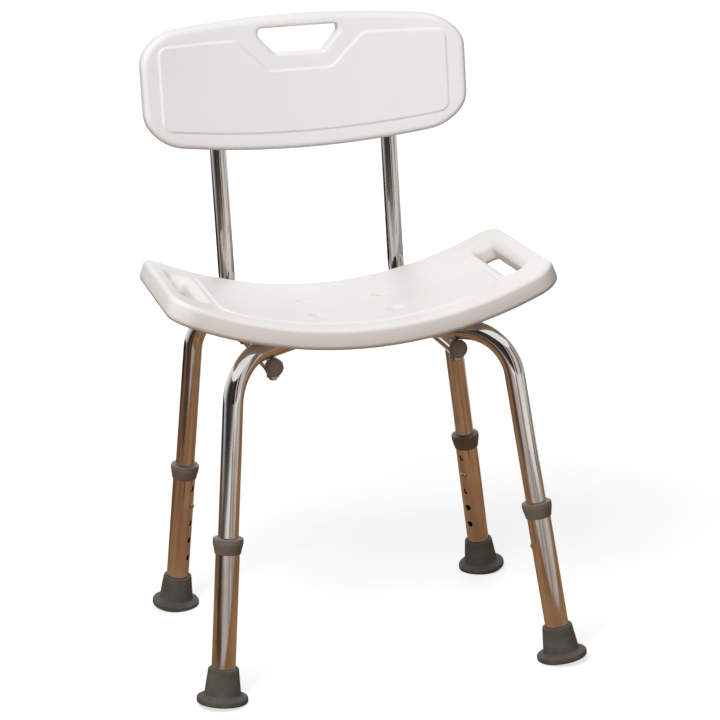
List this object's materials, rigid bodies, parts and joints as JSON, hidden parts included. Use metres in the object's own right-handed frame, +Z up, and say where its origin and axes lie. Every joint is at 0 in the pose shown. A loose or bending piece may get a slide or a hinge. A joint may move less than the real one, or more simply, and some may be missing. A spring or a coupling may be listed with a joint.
{
  "type": "shower chair",
  "caption": "Shower chair with a curved white plastic seat and backrest, hand slots, and splayed telescopic tube legs on rubber feet.",
  "frame": {"origin": "on the floor under the middle of the chair's outline; the middle of the four feet is 13.5 mm in front of it", "axes": "+Z up, -Y the front where the sitter's knees are, +X to the right seen from the front"},
  "size_m": [0.5038, 0.4602, 0.797],
  "materials": {
    "white_hdpe": "satin",
    "chromed_tube": "polished",
    "collar_grey": "satin",
    "cap_grey": "satin",
    "grey_rubber": "matte",
    "zinc_fastener": "satin",
    "spring_steel": "polished",
    "brass_insert": "satin"
  },
  "bodies": {
    "frame": {"frame_tube_a": "chromed_tube", "frame_tube_b": "chromed_tube", "back_tube_left": "chromed_tube", "back_tube_right": "chromed_tube", "frame_centre_bolt": "zinc_fastener", "frame_centre_nut": "zinc_fastener", "seat_bolts": "zinc_fastener", "seat_bolt_saddles": "zinc_fastener", "back_panel_screws": "zinc_fastener", "seat_inserts": "brass_insert", "seat_shell": "white_hdpe", "back_panel": "white_hdpe", "back_tube_cap_left": "cap_grey", "back_tube_cap_right": "cap_grey", "button_spring_fl": "spring_steel", "button_spring_fr": "spring_steel", "button_spring_rl": "spring_steel", "button_spring_rr": "spring_steel"},
    "leg_fl": {"lower_leg_tube_fl": "chromed_tube", "leg_collar_fl": "collar_grey", "rubber_foot_fl": "grey_rubber", "foot_washer_fl": "zinc_fastener"},
    "button_fl": {"snap_button_fl": "spring_steel"},
    "leg_fr": {"lower_leg_tube_fr": "chromed_tube", "leg_collar_fr": "collar_grey", "rubber_foot_fr": "grey_rubber", "foot_washer_fr": "zinc_fastener"},
    "button_fr": {"snap_button_fr": "spring_steel"},
    "leg_rl": {"lower_leg_tube_rl": "chromed_tube", "leg_collar_rl": "collar_grey", "rubber_foot_rl": "grey_rubber", "foot_washer_rl": "zinc_fastener"},
    "button_rl": {"snap_button_rl": "spring_steel"},
    "leg_rr": {"lower_leg_tube_rr": "chromed_tube", "leg_collar_rr": "collar_grey", "rubber_foot_rr": "grey_rubber", "foot_washer_rr": "zinc_fastener"},
    "button_rr": {"snap_button_rr": "spring_steel"}
  },
  "joints": [
    {"name": "leg_fl_height", "type": "slide", "parent": "frame", "child": "leg_fl", "axis": [-0.1119, -0.0939, -0.9893], "range_m": [-0.0762, 0.0254], "deforming": ["snap_button_fl"]},
    {"name": "button_fl_press", "type": "slide", "parent": "frame", "child": "button_fl", "axis": [-0.7578, -0.6359, 0.1461], "range_m": [0, 0.004], "stiffness_N_per_m": 1500, "springref_m": -0.006, "deforming": ["button_spring_fl"]},
    {"name": "leg_fr_height", "type": "slide", "parent": "frame", "child": "leg_fr", "axis": [0.1119, -0.0939, -0.9893], "range_m": [-0.0762, 0.0254], "deforming": ["snap_button_fr"]},
    {"name": "button_fr_press", "type": "slide", "parent": "frame", "child": "button_fr", "axis": [0.7578, -0.6359, 0.1461], "range_m": [0, 0.004], "stiffness_N_per_m": 1500, "springref_m": -0.006, "deforming": ["button_spring_fr"]},
    {"name": "leg_rl_height", "type": "slide", "parent": "frame", "child": "leg_rl", "axis": [-0.1119, 0.0939, -0.9893], "range_m": [-0.0762, 0.0254], "deforming": ["snap_button_rl"]},
    {"name": "button_rl_press", "type": "slide", "parent": "frame", "child": "button_rl", "axis": [-0.7578, 0.6359, 0.1461], "range_m": [0, 0.004], "stiffness_N_per_m": 1500, "springref_m": -0.006, "deforming": ["button_spring_rl"]},
    {"name": "leg_rr_height", "type": "slide", "parent": "frame", "child": "leg_rr", "axis": [0.1119, 0.0939, -0.9893], "range_m": [-0.0762, 0.0254], "deforming": ["snap_button_rr"]},
    {"name": "button_rr_press", "type": "slide", "parent": "frame", "child": "button_rr", "axis": [0.7578, 0.6359, 0.1461], "range_m": [0, 0.004], "stiffness_N_per_m": 1500, "springref_m": -0.006, "deforming": ["button_spring_rr"]}
  ]
}
